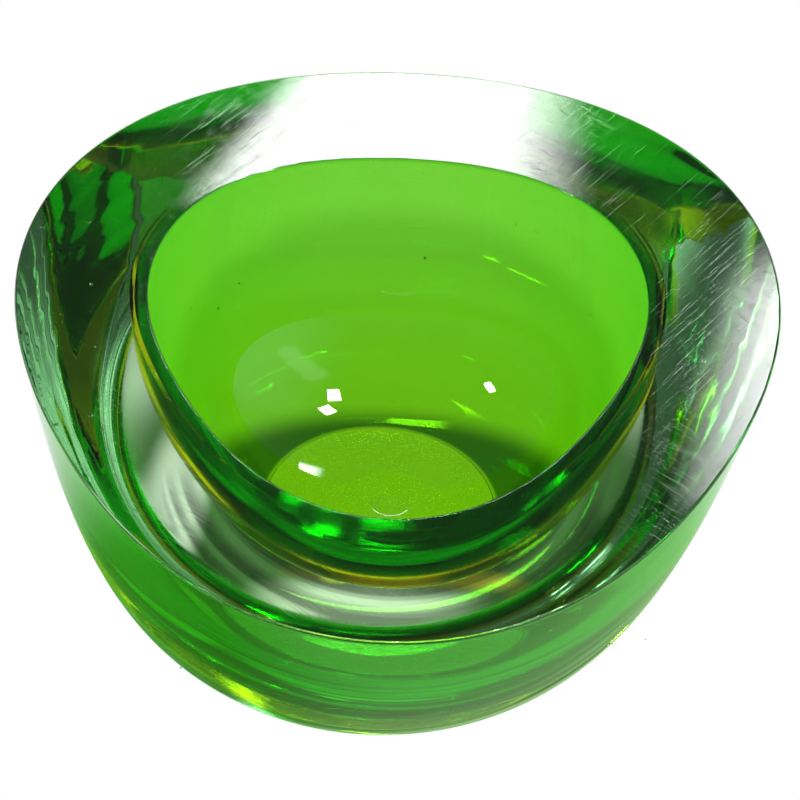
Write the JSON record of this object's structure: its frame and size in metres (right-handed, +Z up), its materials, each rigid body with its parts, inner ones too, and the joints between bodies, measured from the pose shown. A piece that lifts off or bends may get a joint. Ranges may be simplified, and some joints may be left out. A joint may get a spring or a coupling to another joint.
{
  "type": "cased art glass bowl",
  "caption": "Heavy cased glass bowl with a rounded-triangle plan: a green lined well over amber glass inside a thick clear casing with a flat cut rim.",
  "frame": {"origin": "centre of the rim's axis on the flat face the bowl rests on", "axes": "+Z up, one rounded corner of the plan towards -Y and the other two at the back left and back right"},
  "size_m": [0.1392, 0.1418, 0.062],
  "materials": {
    "green_glass": "fire polished, transparent deep green",
    "amber_glass": "transparent yellow amber, fused between the green and the clear",
    "clear_glass": "clear, fire polished outside with a cut and polished flat rim and a ground foot"
  },
  "bodies": {
    "root": {"green_cup": "green_glass", "amber_layer": "amber_glass", "clear_casing": "clear_glass"}
  },
  "joints": []
}
